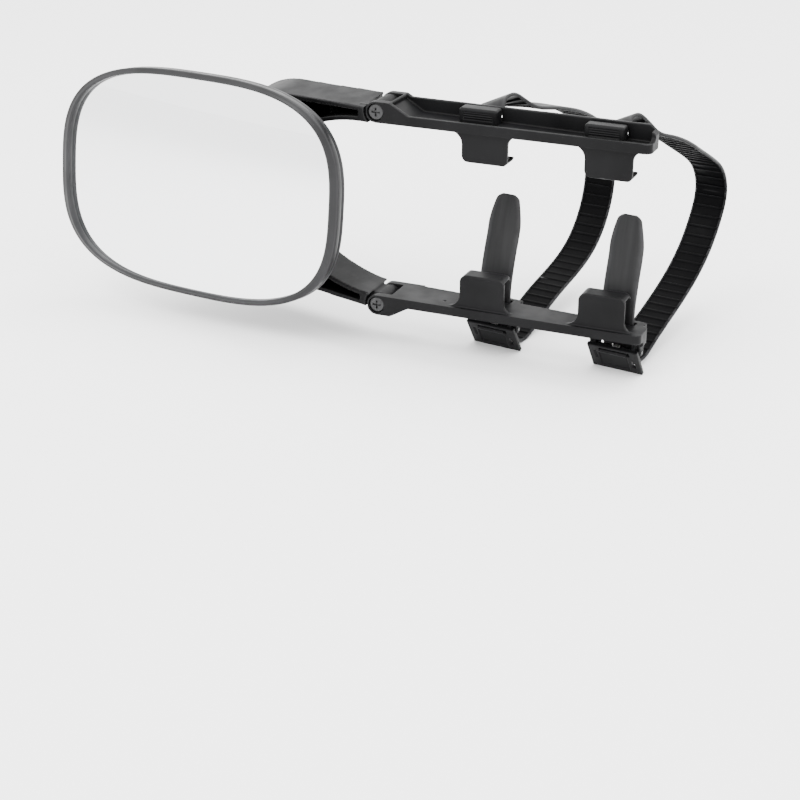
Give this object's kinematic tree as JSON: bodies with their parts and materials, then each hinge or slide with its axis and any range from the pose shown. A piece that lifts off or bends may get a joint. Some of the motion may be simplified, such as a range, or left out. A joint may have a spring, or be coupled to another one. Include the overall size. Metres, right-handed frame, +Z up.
{
  "type": "towing mirror",
  "caption": "Clip-on towing mirror with a wide convex head on a C-shaped yoke, two hinged claw jaws and two ratchet straps that clamp it to a door mirror.",
  "frame": {"origin": "middle of the clamp: halfway between the two jaws and between their claws, in the plane of the jaws' front faces", "axes": "+X along the jaws away from the mirror head, +Y to the back (the side away from the mirror glass), +Z up"},
  "size_m": [0.4214, 0.2028, 0.1663],
  "materials": {
    "black_plastic": "fine-grained moulded black plastic with a slight satin sheen",
    "head_plastic": "grained moulded black plastic",
    "rim_plastic": "satin dark grey-black plastic rim",
    "lever_plastic": "satin black moulded plastic",
    "strap_plastic": "flexible black plastic, smooth outside and ribbed inside",
    "pad_rubber": "soft matt black rubber",
    "foam_pad": "double-sided foam adhesive",
    "nylon": "natural nylon",
    "black_nylon": "black nylon",
    "mirror_silver": "silvered convex glass",
    "black_steel": "blackened steel",
    "zinc_steel": "zinc-plated steel"
  },
  "bodies": {
    "yoke": {"yoke_frame": "black_plastic"},
    "upper_jaw_body": {"upper_jaw": "black_plastic", "upper_claw_pads": "pad_rubber", "upper_pivot_screw": "black_steel", "upper_pivot_nut": "zinc_steel", "upper_friction_washers": "black_nylon", "strap_inner": "strap_plastic", "strap_outer": "strap_plastic", "strap_anchor_inner": "black_plastic", "strap_anchor_outer": "black_plastic"},
    "lower_jaw_body": {"lower_jaw": "black_plastic", "lower_claw_pads": "pad_rubber", "lower_pivot_screw": "black_steel", "lower_pivot_nut": "zinc_steel", "lower_friction_washers": "black_nylon", "lever_pin_inner": "black_steel", "lever_pin_outer": "black_steel", "lever_spring_inner": "zinc_steel", "lever_spring_outer": "zinc_steel"},
    "lever_inner_body": {"release_lever_inner": "lever_plastic"},
    "lever_outer_body": {"release_lever_outer": "lever_plastic"},
    "stud_body": {"ball_stud": "zinc_steel", "stud_washers": "zinc_steel", "stud_nut": "zinc_steel"},
    "liner_body": {"ball_liner": "nylon"},
    "head_body": {"mirror_glass": "mirror_silver", "glass_pad": "foam_pad", "glass_carrier": "head_plastic", "head_bezel": "rim_plastic", "head_shell": "head_plastic", "shell_screws": "black_steel", "clamp_ring": "head_plastic", "clamp_ring_screws": "black_steel"}
  },
  "joints": [
    {"name": "upper_jaw_pivot", "type": "hinge", "parent": "yoke", "child": "upper_jaw_body", "pos_m": [-0.11, 0.015, 0.0632], "axis": [0, 1, 0], "range_deg": [-25, 10], "deforming": ["strap_inner", "strap_outer"]},
    {"name": "lower_jaw_pivot", "type": "hinge", "parent": "yoke", "child": "lower_jaw_body", "pos_m": [-0.11, 0.015, -0.0632], "axis": [0, 1, 0], "range_deg": [-10, 25]},
    {"name": "stud_roll", "type": "hinge", "parent": "yoke", "child": "stud_body", "pos_m": [-0.234, 0.0105, 0], "axis": [0, 1, 0], "range_deg": [-12, 12]},
    {"name": "liner_pan", "type": "hinge", "parent": "stud_body", "child": "liner_body", "pos_m": [-0.234, 0.0105, 0], "axis": [0, 0, 1], "range_deg": [-15, 4]},
    {"name": "head_tilt", "type": "hinge", "parent": "liner_body", "child": "head_body", "pos_m": [-0.234, 0.0105, 0], "axis": [1, 0, 0], "range_deg": [-6, 12]},
    {"name": "lever_inner_pivot", "type": "hinge", "parent": "lower_jaw_body", "child": "lever_inner_body", "pos_m": [-0.03833, 0.02619, -0.0745], "axis": [0.9903, -0.1392, 0], "range_deg": [-20, 0], "stiffness_Nm_per_rad": 0.02, "springref_deg": 4.01},
    {"name": "lever_outer_pivot", "type": "hinge", "parent": "lower_jaw_body", "child": "lever_outer_body", "pos_m": [0.04467, 0.02069, -0.0745], "axis": [0.9903, -0.1392, 0], "range_deg": [-20, 0], "stiffness_Nm_per_rad": 0.02, "springref_deg": 4.01}
  ]
}
